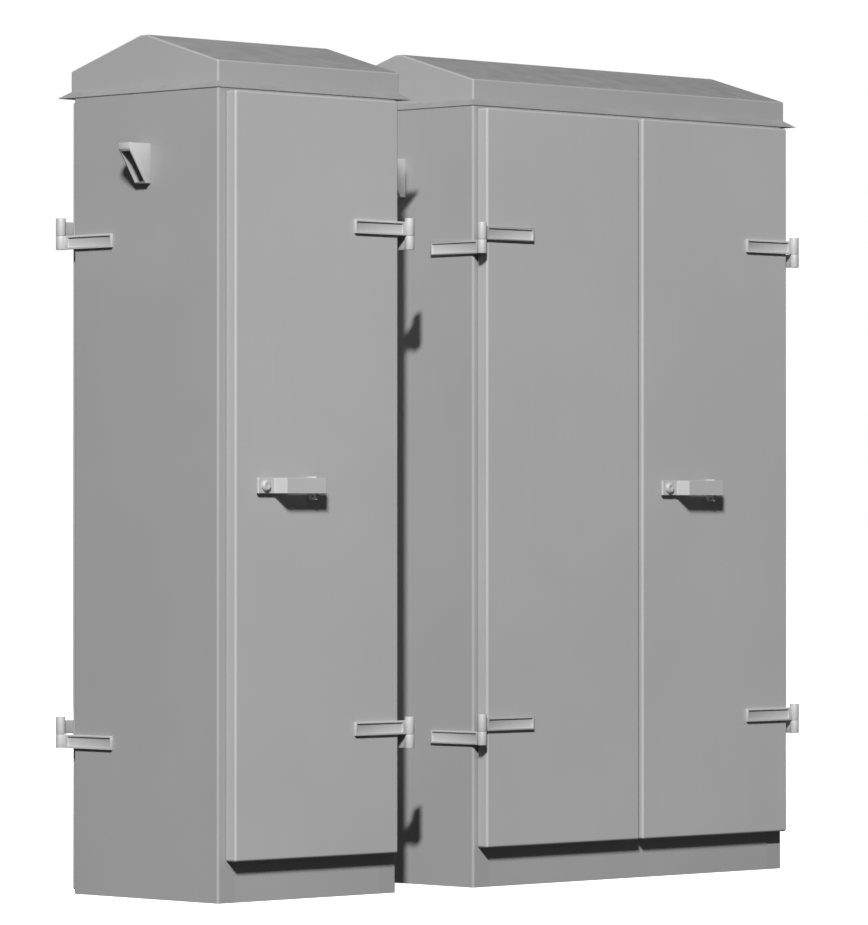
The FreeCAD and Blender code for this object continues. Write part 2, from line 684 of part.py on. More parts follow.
def coil_terminals():
    """A copper flag with its bolt hole at the front of each coil, near its top."""
    flags = []
    for side in ("-core_pitch", "0", "core_pitch"):
        for height in ("380", "580"):
            flag = block((f"{side} - flag_wide/2", f"{side} + flag_wide/2"),
                         ("-coil_radius - flag_out", "-coil_radius + 5"),
                         (height, f"{height} + flag_thick"))
            flags.append(cut(flag, rod("5", "10", side, "-coil_radius - 20", f"{height} - 2")))
    return group(*flags)


def busbar_levels():
    """The low and high edge of each of the four bars."""
    for number in range(4):
        low = f"busbar_low + {number}*busbar_step"
        yield low, f"{low} + busbar_tall"


def busbars():
    """Four flat copper bars, one above another."""
    bars = [block(("busbar_end", "wide_width - busbar_end"), ("busbar_y", "busbar_y + busbar_thick"), z)
            for z in busbar_levels()]
    return group(*bars)


def busbar_supports():
    """Two moulded combs between the bars and the rear panel."""
    combs = []
    for x in ("comb_inset", "wide_width - comb_inset - comb_wide"):
        comb = block((x, f"{x} + comb_wide"), ("busbar_y - 6", "depth"),
                     ("busbar_low - 30", "busbar_low + 3*busbar_step + busbar_tall + 30"))
        notch = (f"{x} - 1", f"{x} + comb_wide + 1")
        notches = [block(notch, ("busbar_y - 7", "busbar_y + busbar_thick"), z) for z in busbar_levels()]
        combs.append(cut(comb, *notches))
    return group(*combs)


def equipment_plate():
    """A plate between the narrow cabinet's walls, slotted near its foot for cables."""
    plate = block(("sheet", "narrow_width - sheet"), ("plate_y", "plate_y + plate_thick"),
                  ("plate_low", "plate_high"))
    slots = [block((x, f"{x} + 60"), ("plate_y - 1", "plate_y + plate_thick + 1"), ("420", "520"))
             for x in ("120", "415")]
    return cut(plate, *slots)


def main_breaker():
    """A moulded case breaker with a raised front and a slot for its toggle."""
    case = block(("-70", "70"), ("-90", "0"), ("-130", "130"))
    raised = block(("-45", "45"), ("-105", "-89"), ("-60", "60"))
    slot = block(("-11", "11"), ("-106", "-70"), ("-32", "32"))
    gaps = [block((x, f"{x} + 2"), ("-91", "-60"), (low, f"{low} + 35"))
            for x in ("-24", "22") for low in ("-131", "96")]
    return cut(fuse(case, raised), slot, *gaps)


def breaker_toggle():
    """A toggle on a barrel in the breaker's slot, tilted up at rest."""
    grip = block(("-8", "8"), ("-36", "0"), ("-5", "5"))
    return fuse(rod("8", "20", x="-10", along="X"), grip)


def link_duct():
    """A cable duct of four sheets between the two cabinets, with a strip round each end."""
    front, back = "duct_front", "(duct_front + duct_wide)"
    low, top = "duct_low", "(duct_low + duct_tall)"
    span = ("narrow_width", "narrow_width + cabinet_gap")
    pieces = [block(span, (front, back), (low, f"{low} + duct_skin")),
              block(span, (front, back), (f"{top} - duct_skin", top)),
              block(span, (front, f"{front} + duct_skin"), (f"{low} + duct_skin", f"{top} - duct_skin")),
              block(span, (f"{back} - duct_skin", back), (f"{low} + duct_skin", f"{top} - duct_skin"))]
    for start in ("narrow_width", "narrow_width + cabinet_gap - duct_strip"):
        end = (start, f"{start} + duct_strip")
        across = (f"{front} - duct_flange", f"{back} + duct_flange")
        pieces += [block(end, across, (f"{low} - duct_flange", low)),
                   block(end, across, (top, f"{top} + duct_flange")),
                   block(end, (f"{front} - duct_flange", front), (low, top)),
                   block(end, (back, f"{back} + duct_flange"), (low, top))]
    return group(*pieces)


# ---- assembly: root structure -------------------------------------------------------------------

def duct_window(x):
    return block((f"{x} - 5", f"{x} + 5"),
                 ("duct_front + duct_skin", "duct_front + duct_wide - duct_skin"),
                 ("duct_low + duct_skin", "duct_low + duct_tall - duct_skin"))


wall = side_wall()
left_wall = copy(wall)
right_wall = copy(wall, "narrow_width", "depth", turn=180)
node(place(group(left_wall, cut(right_wall, duct_window("narrow_width"))), NARROW_X, FRONT_Y),
     "narrow_side_walls")
left_wall = copy(wall)
right_wall = copy(wall, "wide_width", "depth", turn=180)
node(place(group(cut(left_wall, duct_window("0")), right_wall), WIDE_X, FRONT_Y), "wide_side_walls")

node(place(door_frame("narrow_width", "front_sill", narrow_opening()), NARROW_X, FRONT_Y),
     "narrow_front_frame")
node(place(door_frame("narrow_width", "rear_sill", narrow_opening()),
           f"{NARROW_X} + narrow_width", "depth/2", turn=180), "narrow_rear_frame")
node(place(door_frame("wide_width", "front_sill", wide_openings()), WIDE_X, FRONT_Y),
     "wide_front_frame")
node(place(rear_panel(), WIDE_X, FRONT_Y), "wide_rear_panel")
node(panel_bolts(), "rear_panel_bolts")
narrow_floor = place(floor_plate("narrow_width", ("150", "narrow_width - 150")), NARROW_X, FRONT_Y)
wide_floor = place(floor_plate("wide_width", ("60", "wide_width - 60")), WIDE_X, FRONT_Y)
node(group(narrow_floor, wide_floor), "floor_plates")

rail = base_rail()
node(group(*[copy(rail, x, y, turn=turn) for x, y, turn in (
    (NARROW_X, FRONT_Y, 0), (f"{NARROW_X} + narrow_width", "depth/2", 180),
    (WIDE_X, FRONT_Y, 0), (f"{WIDE_X} + wide_width", "depth/2", 180))]), "base_rails")

node(place(roof("narrow_width"), NARROW_X, FRONT_Y), "narrow_roof")
node(place(roof("wide_width"), WIDE_X, FRONT_Y), "wide_roof")

hood = vent_hood()
screen = vent_screen()
WALL_PLANES = ((NARROW_X, 0), (f"{NARROW_X} + narrow_width", 180), (WIDE_X, 0),
               (f"{WIDE_X} + wide_width", 180))
node(group(*[copy(hood, x, z="hood_low", turn=turn) for x, turn in WALL_PLANES]), "vent_hoods")
node(group(*[copy(screen, f"{x} + {'sheet' if turn == 0 else '-sheet'}", z="hood_low", turn=turn)
             for x, turn in WALL_PLANES]), "vent_screens")

seals = [place(seal("stile", "narrow_width - stile", "front_sill"), NARROW_X, FRONT_Y),
         place(seal("stile", "narrow_width - stile", "rear_sill"), f"{NARROW_X} + narrow_width",
               "depth/2", turn=180)]
seals += [place(seal(left, right, "front_sill"), WIDE_X, FRONT_Y) for left, right in wide_openings()]
node(group(*seals), "door_seals")

node(place(link_duct(), NARROW_X, FRONT_Y), "link_duct")

# ---- assembly: hinges. The axis of each door stands off one corner of its cabinet ---------------

AXIS_FRONT = f"{FRONT_Y} - axis_ahead"
AXIS_REAR = "depth/2 + axis_ahead"
NARROW_FRONT_AXIS = (f"{NARROW_X} + narrow_width + axis_out", AXIS_FRONT)
NARROW_REAR_AXIS = (f"{NARROW_X} - axis_out", AXIS_REAR)
WIDE_LEFT_AXIS = (f"{WIDE_X} - axis_out", AXIS_FRONT)
WIDE_RIGHT_AXIS = (f"{WIDE_X} + wide_width + axis_out", AXIS_FRONT)

leaf = frame_leaf()
# which way each frame leaf is turned over: about Y for a right wall, about X for a rear corner
LEAF_TURNS = ((NARROW_FRONT_AXIS, (0, 1, 0), 180), (NARROW_REAR_AXIS, (1, 0, 0), 180),
              (WIDE_LEFT_AXIS, (0, 0, 1), 0), (WIDE_RIGHT_AXIS, (0, 1, 0), 180))
frame_leaves = []
pins = []
for level in HINGE_LEVELS:
    for (x, y), axis, turn in LEAF_TURNS:
        rise = level if turn == 0 else f"{level} + frame_knuckle"
        frame_leaves.append(copy(leaf, x, y, rise, axis, turn))
        pins.append(place(hinge_pin(), x, y, level))
node(group(*frame_leaves), "frame_hinge_leaves")
node(group(*pins), "hinge_pins")

right_hand_leaf = door_leaf(-1)
left_hand_leaf = door_leaf(1)


def door_leaves(source, axis, turn, label):
    rise = "frame_knuckle + knuckle_gap"
    node(group(*[copy(source, axis[0], axis[1], f"{level} + {rise}", turn=turn)
                 for level in HINGE_LEVELS]), label)


door_leaves(right_hand_leaf, NARROW_FRONT_AXIS, 0, "narrow_front_door_leaves")
door_leaves(right_hand_leaf, NARROW_REAR_AXIS, 180, "narrow_rear_door_leaves")
door_leaves(left_hand_leaf, WIDE_LEFT_AXIS, 0, "wide_left_door_leaves")
door_leaves(right_hand_leaf, WIDE_RIGHT_AXIS, 0, "wide_right_door_leaves")

# ---- assembly: doors ----------------------------------------------------------------------------

FRONT_DOOR_TALL = "door_top - front_door_bottom"
REAR_DOOR_TALL = "door_top - rear_door_bottom"
DOOR_FACE = f"{FRONT_Y} - door_depth"
front_lock = ("lock_inset", "lock_height - front_door_bottom")
rear_lock = ("lock_inset", "lock_height - rear_door_bottom")
node(place(door(NARROW_DOOR_WIDTH, FRONT_DOOR_TALL, front_lock), f"{NARROW_X} + narrow_inset",
           DOOR_FACE, "front_door_bottom"), "narrow_front_door")
node(place(door(NARROW_DOOR_WIDTH, REAR_DOOR_TALL, rear_lock),
           f"{NARROW_X} + narrow_width - narrow_inset", "depth/2 + door_depth", "rear_door_bottom",
           turn=180), "narrow_rear_door")
node(place(door(LEFT_LEAF_WIDTH, FRONT_DOOR_TALL), f"{WIDE_X} + {LEFT_LEAF_X}", DOOR_FACE,
           "front_door_bottom"), "wide_left_door")
node(place(door(LEFT_LEAF_WIDTH, FRONT_DOOR_TALL, front_lock), f"{WIDE_X} + {RIGHT_LEAF_X}", DOOR_FACE,
           "front_door_bottom"), "wide_right_door")

# ---- assembly: lever locks on the two front doors -----------------------------------------------

lever_shape = lever()
bolt_shape = lever_bolt()
pinion_shape = pinion_spindle()
escutcheon_shape = escutcheon()
staple_shape = padlock_staple()
case_shape = lock_case()
guide_shape = rod_guide()
upper_rod_shape = lock_rod("opening_top - 6 - lock_height")
lower_rod_shape = lock_rod("lock_height - front_sill - 6")

LOCKS = {"narrow": f"{NARROW_X} + narrow_inset + lock_inset",
         "wide": f"{WIDE_X} + {RIGHT_LEAF_X} + lock_inset"}
for cabinet, lock_x in LOCKS.items():
    at_lock = (lock_x, DOOR_FACE, "lock_height")
    node(copy(lever_shape, *at_lock), f"{cabinet}_lever")
    node(copy(bolt_shape, *at_lock), f"{cabinet}_lever_bolt")
    node(copy(pinion_shape, *at_lock), f"{cabinet}_pinion_spindle")
    node(copy(escutcheon_shape, *at_lock), f"{cabinet}_escutcheon")
    node(copy(staple_shape, *at_lock), f"{cabinet}_padlock_staple")
    node(copy(case_shape, *at_lock), f"{cabinet}_lock_case")
    node(copy(upper_rod_shape, *at_lock), f"{cabinet}_upper_rod")
    node(copy(lower_rod_shape, *at_lock, (0, 1, 0), 180), f"{cabinet}_lower_rod")
    guides = [copy(guide_shape, lock_x, DOOR_FACE, f"lock_height + {rise}") for rise in ("300", "800")]
    guides += [copy(guide_shape, lock_x, DOOR_FACE, f"lock_height - {drop}", (0, 1, 0), 180)
               for drop in ("300", "780")]
    node(group(*guides), f"{cabinet}_rod_guides")

# ---- assembly: rear door's lever and cam --------------------------------------------------------

at_rear_lock = (f"{NARROW_X} + narrow_width - narrow_inset - lock_inset", "depth/2 + door_depth",
                "lock_height")
node(copy(lever_shape, *at_rear_lock, turn=180), "rear_lever")
rear_spindle = fuse(cam_spindle(), lever_bolt())
node(place(rear_spindle, *at_rear_lock, turn=180), "rear_lever_spindle")
node(copy(cam_tongue(), *at_rear_lock, turn=180), "rear_cam_tongue")

# ---- assembly: shoot bolts of the wide left door ------------------------------------------------

SHOOT_X = f"{WIDE_X} + {LEFT_LEAF_X} + {LEFT_LEAF_WIDTH} - 70"
SHOOT_Y = f"{DOOR_FACE} + rod_plane + 4"
shoot = shoot_bolt()
shoot_holder = shoot_guide()
node(copy(shoot, SHOOT_X, SHOOT_Y, "opening_top - 6"), "top_shoot_bolt")
node(copy(shoot, SHOOT_X, SHOOT_Y, "front_sill + 6", (0, 1, 0), 180), "bottom_shoot_bolt")
holders = [copy(shoot_holder, SHOOT_X, SHOOT_Y, f"opening_top - {drop}") for drop in ("60", "160")]
holders += [copy(shoot_holder, SHOOT_X, SHOOT_Y, f"front_sill + {rise}") for rise in ("48", "148")]
node(group(*holders), "shoot_bolt_guides")

keeper_shape = keeper()
rod_offset = "(pinion_pitch + rack_gap + rod_wide/2)"
KEEPER_Y = f"{DOOR_FACE} + rod_plane + 4"
keepers = []
for lock_x in LOCKS.values():
    keepers.append(copy(keeper_shape, f"{lock_x} - {rod_offset}", KEEPER_Y, "opening_top + 3"))
    keepers.append(copy(keeper_shape, f"{lock_x} + {rod_offset}", KEEPER_Y, "front_sill - 8"))
keepers.append(copy(keeper_shape, SHOOT_X, KEEPER_Y, "opening_top + 3"))
keepers.append(copy(keeper_shape, SHOOT_X, KEEPER_Y, "front_sill - 8"))
node(group(*keepers), "rod_keepers")

# ---- assembly: transformer, busbars and service gear --------------------------------------------

TRANSFORMER = (f"{WIDE_X} + wide_width/2", f"{FRONT_Y} + transformer_y")
node(place(transformer_core(), *TRANSFORMER), "transformer_core")
coil_shape = coil()
node(group(*[copy(coil_shape, f"{TRANSFORMER[0]} + {side}*core_pitch", TRANSFORMER[1])
             for side in (-1, 0, 1)]), "transformer_coils")
node(place(core_clamps(), *TRANSFORMER), "core_clamps")
node(place(coil_terminals(), *TRANSFORMER), "coil_terminals")
node(place(busbars(), WIDE_X, FRONT_Y), "low_voltage_busbars")
node(place(busbar_supports(), WIDE_X, FRONT_Y), "busbar_supports")
node(place(equipment_plate(), NARROW_X, FRONT_Y), "equipment_plate")

BREAKER = (f"{NARROW_X} + narrow_width/2", f"{FRONT_Y} + plate_y", "1250")
node(place(main_breaker(), *BREAKER), "main_breaker")
node(place(breaker_toggle(), BREAKER[0], f"{BREAKER[1]} - 82", BREAKER[2], (1, 0, 0), -25),
     "breaker_toggle")

narrow_bar = block((f"{NARROW_X} + 80", f"{NARROW_X} + narrow_width - 80"),
                   (f"{FRONT_Y} + plate_y - 6", f"{FRONT_Y} + plate_y"), ("560", "585"))
wide_bar = block((f"{WIDE_X} + 150", f"{WIDE_X} + wide_width - 150"), ("depth/2 - 6", "depth/2"),
                 ("1020", "1045"))
node(group(narrow_bar, wide_bar), "earth_bars")

# ---- check and export ---------------------------------------------------------------------------

doc.recompute()
for thing in doc.Objects:
    if any(state in ("Invalid", "Error") for state in thing.State):
        raise RuntimeError(f"{thing.Name} ({thing.Label}) failed: {thing.State}")
os.makedirs("parts", exist_ok=True)
for part in nodes:
    shape = Part.getShape(part)
    if shape.isNull() or not shape.isValid():
        raise RuntimeError(f"{part.Label} has no valid shape")
    shape.exportStep(f"parts/{part.Label}.step")
    box = shape.BoundBox
    print(f"{part.Label:28s} solids {len(shape.Solids):2d}  volume {shape.Volume/1000:10.1f} cm3  "
          f"x {box.XMin:8.1f} {box.XMax:8.1f}  y {box.YMin:7.1f} {box.YMax:7.1f}  "
          f"z {box.ZMin:7.1f} {box.ZMax:7.1f}")
print(len(nodes), "nodes")
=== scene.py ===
"""The finish of a set of two painted sheet-steel equipment cabinets.

Metres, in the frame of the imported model: +X to the right along the fronts, +Y to the rear, +Z up.
The castings, hoods, duct, mouldings, bars and the transformer's parts are finished copies with
worked edges. Each roof gains a hem under its lip. All other parts keep their own shape and only
take their finish.
"""
import json
import math

import bpy
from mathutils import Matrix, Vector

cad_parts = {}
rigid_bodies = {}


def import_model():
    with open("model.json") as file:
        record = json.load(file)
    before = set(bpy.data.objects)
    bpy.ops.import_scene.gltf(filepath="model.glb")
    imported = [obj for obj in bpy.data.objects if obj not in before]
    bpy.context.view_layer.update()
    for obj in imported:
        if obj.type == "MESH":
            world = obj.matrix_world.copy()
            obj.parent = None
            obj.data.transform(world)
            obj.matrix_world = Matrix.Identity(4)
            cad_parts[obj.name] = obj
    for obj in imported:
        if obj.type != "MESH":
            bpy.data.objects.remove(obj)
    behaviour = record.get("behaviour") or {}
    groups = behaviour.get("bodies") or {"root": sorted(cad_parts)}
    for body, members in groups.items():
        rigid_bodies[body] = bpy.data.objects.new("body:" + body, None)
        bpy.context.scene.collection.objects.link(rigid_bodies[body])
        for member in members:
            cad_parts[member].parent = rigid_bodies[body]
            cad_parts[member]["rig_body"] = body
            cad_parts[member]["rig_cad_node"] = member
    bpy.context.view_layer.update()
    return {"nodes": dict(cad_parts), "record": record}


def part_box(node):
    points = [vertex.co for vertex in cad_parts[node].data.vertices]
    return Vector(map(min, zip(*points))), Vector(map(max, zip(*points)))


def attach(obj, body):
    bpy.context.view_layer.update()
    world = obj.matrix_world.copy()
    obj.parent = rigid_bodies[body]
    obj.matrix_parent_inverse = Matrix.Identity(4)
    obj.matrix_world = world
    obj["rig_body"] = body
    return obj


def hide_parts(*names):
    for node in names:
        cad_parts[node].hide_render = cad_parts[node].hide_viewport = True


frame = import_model()

MM = 0.001
BODY_OF = {node: body for body, members in frame["record"]["behaviour"]["bodies"].items()
           for node in members}
SLOT_OF = {row["node"]: row["material_slot"] for row in frame["record"]["subparts"]}


# ---- small helpers for the materials ----

def linear(hex_colour):
    """An sRGB hex colour as the linear colour that a shader takes."""
    channels = [int(hex_colour[i:i + 2], 16) / 255 for i in (1, 3, 5)]
    return [c / 12.92 if c <= 0.04045 else ((c + 0.055) / 1.055) ** 2.4 for c in channels] + [1.0]


def add(tree, kind, links=None, **settings):
    """Add a node; a setting is one of its inputs where it has that name, otherwise a property."""
    made = tree.nodes.new(kind)
    for name, value in settings.items():
        socket = made.inputs.get(name.replace("_", " "))
        if socket is not None:
            socket.default_value = value
        else:
            setattr(made, name, value)
    for socket, source in (links or {}).items():
        tree.links.new(source, made.inputs[socket])
    return made


def per_metre(millimetres):
    """The noise scale that gives features of a real size."""
    return 1 / (millimetres * MM)


def start(name):
    """An empty material with its node tree and its object coordinates."""
    material = bpy.data.materials.new(name)
    material.use_nodes = True
    tree = material.node_tree
    tree.nodes.clear()
    return material, tree, add(tree, "ShaderNodeTexCoord").outputs["Object"]


def between(tree, factor, first, second, low=0.0, high=1.0):
    """A colour that runs from one hex colour to another as a factor goes from low to high."""
    ramp = add(tree, "ShaderNodeValToRGB", {"Fac": factor})
    stops = ramp.color_ramp.elements
    stops[0].position, stops[0].color = low, linear(first)
    stops[1].position, stops[1].color = high, linear(second)
    return ramp.outputs["Color"]


def spread(tree, factor, low, high, start_at=0.25, end_at=0.75):
    """A number that runs from low to high as a factor goes from start_at to end_at."""
    return add(tree, "ShaderNodeMapRange", {"Value": factor}, From_Min=start_at, From_Max=end_at,
               To_Min=low, To_Max=high).outputs["Result"]


def mixed(tree, factor, first, second):
    """Two colours mixed by a factor."""
    node = add(tree, "ShaderNodeMixRGB", {"Fac": factor, "Color1": first, "Color2": second})
    return node.outputs["Color"]


def relief(tree, height, strength, depth_mm, under=None):
    """The normal of a surface with a height pattern of a real depth."""
    links = {"Height": height}
    if under is not None:
        links["Normal"] = under
    bump = add(tree, "ShaderNodeBump", links, Strength=strength, Distance=depth_mm * MM)
    return bump.outputs["Normal"]


def surface(tree, links, **settings):
    """The shader itself and the material's output."""
    shader = add(tree, "ShaderNodeBsdfPrincipled", links, **settings)
    add(tree, "ShaderNodeOutputMaterial", {"Surface": shader.outputs["BSDF"]})


# ---- materials ----

def powder_coat(name, main, shade, dirt_and_level_shade, film, gloss_low, gloss_high):
    """Polyester powder coat on folded sheet steel, sprayed and baked.

    An even satin grey with a faint orange peel, a little cloudiness in its colour and gloss, and
    painted shade where it lies level, which darkens the roofs' slopes.
    """
    material, tree, place = start(name)
    cloud = add(tree, "ShaderNodeTexNoise", {"Vector": place}, Scale=per_metre(420), Detail=4.0)
    # rain leaves long upright streaks, so the pattern is stretched along Z
    upright = add(tree, "ShaderNodeMapping", {"Vector": place}, Scale=(1.0, 1.0, 0.06))
    streak = add(tree, "ShaderNodeTexNoise", {"Vector": upright.outputs["Vector"]},
                 Scale=per_metre(28), Detail=5.0, Roughness=0.6)
    base = between(tree, cloud.outputs["Fac"], shade, main, 0.3, 0.7)
    rained = mixed(tree, spread(tree, streak.outputs["Fac"], 0.0, 0.10), base,
                   between(tree, streak.outputs["Fac"], dirt_and_level_shade, main, 0.35, 0.8))
    # painted shade: faces that lie level take a darker mottled colour, the more the further they
    # turn up, which darkens the roofs' slopes
    facing = add(tree, "ShaderNodeTexCoord").outputs["Normal"]
    level = add(tree, "ShaderNodeSeparateXYZ", {"Vector": facing})
    level_shade_mask = spread(tree, level.outputs["Z"], 0.0, 1.0, 0.55, 0.93)
    level_shade_mottle = add(tree, "ShaderNodeTexNoise", {"Vector": place}, Scale=per_metre(60), Detail=6.0)
    colour = mixed(tree, level_shade_mask, rained,
                   between(tree, level_shade_mottle.outputs["Fac"], dirt_and_level_shade, film, 0.3, 0.7))
    # orange peel is 1 to 2 mm across on the real coat; 5 mm here, so that it shows
    peel = add(tree, "ShaderNodeTexNoise", {"Vector": place}, Scale=per_metre(5), Detail=2.0)
    # folded sheet is never dead flat: swells 300 mm across and a tenth of a millimetre deep
    swell = add(tree, "ShaderNodeTexNoise", {"Vector": place}, Scale=per_metre(300), Detail=1.0)
    flat = relief(tree, swell.outputs["Fac"], 0.5, 0.35)
    normal = relief(tree, peel.outputs["Fac"], 0.06, 0.15, flat)
    satin = spread(tree, cloud.outputs["Fac"], gloss_low, gloss_high)
    # level sheet is made matt too; input 2 is the mix's A
    matt = add(tree, "ShaderNodeMix", {"Factor": level_shade_mask, 2: satin}, B=0.95)
    surface(tree, {"Base Color": colour, "Normal": normal, "Roughness": matt.outputs[0]},
            IOR=1.5, Metallic=0.0)
    return material


def zinc_plate():
    """Bright zinc electroplate, passivated: a cool silver with faint bluish and straw patches."""
    material, tree, place = start("bright zinc plate")
    patch = add(tree, "ShaderNodeTexNoise", {"Vector": place}, Scale=per_metre(18), Detail=4.0)
    grain = add(tree, "ShaderNodeTexNoise", {"Vector": place}, Scale=per_metre(1.2), Detail=3.0)
    silver = between(tree, patch.outputs["Fac"], "#A9AFB8", "#C6C4B8", 0.3, 0.7)
    surface(tree, {"Base Color": silver,
                   "Roughness": spread(tree, grain.outputs["Fac"], 0.26, 0.42),
                   "Normal": relief(tree, grain.outputs["Fac"], 0.12, 0.05)}, Metallic=1.0)
    return material


def hot_dip_zinc():
    """Hot-dip galvanised steel: a spangle of crystals with a tone each, gone dull outdoors."""
    material, tree, place = start("hot-dip galvanised steel")
    # spangle 14 mm across
    wobble = add(tree, "ShaderNodeTexNoise", {"Vector": place}, Scale=per_metre(9), Detail=2.0)
    bent = add(tree, "ShaderNodeVectorMath", {0: wobble.outputs["Color"]}, operation="SCALE",
               Scale=6 * MM)
    moved = add(tree, "ShaderNodeVectorMath", {0: place, 1: bent.outputs["Vector"]},
                operation="ADD")
    spangle = add(tree, "ShaderNodeTexVoronoi", {"Vector": moved.outputs["Vector"]},
                  Scale=per_metre(14))
    tone = add(tree, "ShaderNodeSeparateColor", {"Color": spangle.outputs["Color"]})
    dull = add(tree, "ShaderNodeTexNoise", {"Vector": place}, Scale=per_metre(120), Detail=4.0)
    crystals = between(tree, tone.outputs["Red"], "#8E9498", "#B4B9BC")
    colour = mixed(tree, spread(tree, dull.outputs["Fac"], 0.0, 0.5), crystals,
                   between(tree, dull.outputs["Fac"], "#9B9E9E", "#A9ACAA"))
    surface(tree, {"Base Color": colour,
                   "Roughness": spread(tree, tone.outputs["Green"], 0.38, 0.6, 0, 1),
                   "Normal": relief(tree, tone.outputs["Blue"], 0.1, 0.05)}, Metallic=0.85)
    return material


def door_rubber():
    """Extruded EPDM sponge: dead black, very matt, with a fine open skin."""
    material, tree, place = start("EPDM sponge rubber")
    # the pores are 0.3 mm; 2 mm here, so that they show
    pores = add(tree, "ShaderNodeTexNoise", {"Vector": place}, Scale=per_metre(2), Detail=4.0)
    black = between(tree, pores.outputs["Fac"], "#161616", "#262625", 0.3, 0.7)
    surface(tree, {"Base Color": black,
                   "Roughness": spread(tree, pores.outputs["Fac"], 0.72, 0.9),
                   "Normal": relief(tree, pores.outputs["Fac"], 0.5, 0.2)}, IOR=1.47)
    return material


def laminated_steel():
    """Stacked silicon-steel laminations, varnished: fine lines along them, a dark brown film."""
    material, tree, place = start("varnished core laminations")
    # sheets 0.3 mm thick lie across Y; the bands here are 8 mm apart, so that they show
    sheets = add(tree, "ShaderNodeTexWave", {"Vector": place},
                 Scale=1 / (2 * math.pi) * per_metre(4), bands_direction="Y", Distortion=0.4)
    film = add(tree, "ShaderNodeTexNoise", {"Vector": place}, Scale=per_metre(45), Detail=5.0)
    steel = between(tree, sheets.outputs["Fac"], "#2E2C2A", "#4A4743")
    colour = mixed(tree, spread(tree, film.outputs["Fac"], 0.1, 0.6), steel,
                   between(tree, film.outputs["Fac"], "#2A211C", "#4C4038"))
    surface(tree, {"Base Color": colour,
                   "Roughness": spread(tree, film.outputs["Fac"], 0.32, 0.55),
                   "Normal": relief(tree, sheets.outputs["Fac"], 0.35, 0.3)},
            IOR=1.5, Metallic=0.3)
    return material


def cast_epoxy():
    """Epoxy cast under vacuum round a winding: deep brown-red with silica, and a satin skin."""
    material, tree, place = start("cast epoxy resin")
    filler = add(tree, "ShaderNodeTexNoise", {"Vector": place}, Scale=per_metre(3), Detail=5.0)
    flow = add(tree, "ShaderNodeTexNoise", {"Vector": place}, Scale=per_metre(90), Detail=3.0)
    deep = between(tree, flow.outputs["Fac"], "#6B2B1E", "#7F3828", 0.3, 0.7)
    colour = mixed(tree, spread(tree, filler.outputs["Fac"], 0.0, 0.25), deep,
                   between(tree, filler.outputs["Fac"], "#5A2318", "#96503C"))
    surface(tree, {"Base Color": colour,
                   "Roughness": spread(tree, flow.outputs["Fac"], 0.3, 0.45),
                   "Normal": relief(tree, flow.outputs["Fac"], 0.3, 0.6)}, IOR=1.55)
    return material


def bare_copper():
    """Rolled copper bar: drawn lines along it and brown tarnish where it has been handled."""
    material, tree, place = start("rolled copper bar")
    along = add(tree, "ShaderNodeMapping", {"Vector": place}, Scale=(0.03, 1.0, 1.0))
    drawn = add(tree, "ShaderNodeTexNoise", {"Vector": along.outputs["Vector"]},
                Scale=per_metre(1.5), Detail=3.0)
    tarnish = add(tree, "ShaderNodeTexNoise", {"Vector": place}, Scale=per_metre(35), Detail=6.0)
    bright = between(tree, drawn.outputs["Fac"], "#B8704C", "#D08F68", 0.3, 0.7)
    colour = mixed(tree, spread(tree, tarnish.outputs["Fac"], 0.0, 0.75, 0.45, 0.72), bright,
                   between(tree, drawn.outputs["Fac"], "#6E3C28", "#8A5138"))
    surface(tree, {"Base Color": colour,
                   "Roughness": spread(tree, tarnish.outputs["Fac"], 0.24, 0.5),
                   "Normal": relief(tree, drawn.outputs["Fac"], 0.15, 0.05)}, Metallic=1.0)
    return material


def moulding_compound():
    """Glass-filled polyester pressed in a hot mould: dull red with pale fibre flecks."""
    material, tree, place = start("glass-filled polyester moulding")
    fleck = add(tree, "ShaderNodeTexNoise", {"Vector": place}, Scale=per_metre(5), Detail=6.0)
    red = between(tree, fleck.outputs["Fac"], "#7E1F19", "#A03A2E", 0.35, 0.75)
    surface(tree, {"Base Color": red,
                   "Roughness": spread(tree, fleck.outputs["Fac"], 0.5, 0.65),
                   "Normal": relief(tree, fleck.outputs["Fac"], 0.2, 0.1)}, IOR=1.54)
    return material


def moulded_black(name, low, high, gloss_low, gloss_high):
    """Injection-moulded thermoset in black, with the fine spark-eroded grain of its mould."""
    material, tree, place = start(name)
    # the mould's grain is 0.5 mm; 1.5 mm here, so that it shows
    grain = add(tree, "ShaderNodeTexNoise", {"Vector": place}, Scale=per_metre(1.5), Detail=3.0)
    surface(tree, {"Base Color": between(tree, grain.outputs["Fac"], low, high, 0.3, 0.7),
                   "Roughness": spread(tree, grain.outputs["Fac"], gloss_low, gloss_high),
                   "Normal": relief(tree, grain.outputs["Fac"], 0.25, 0.08)}, IOR=1.5)
    return material


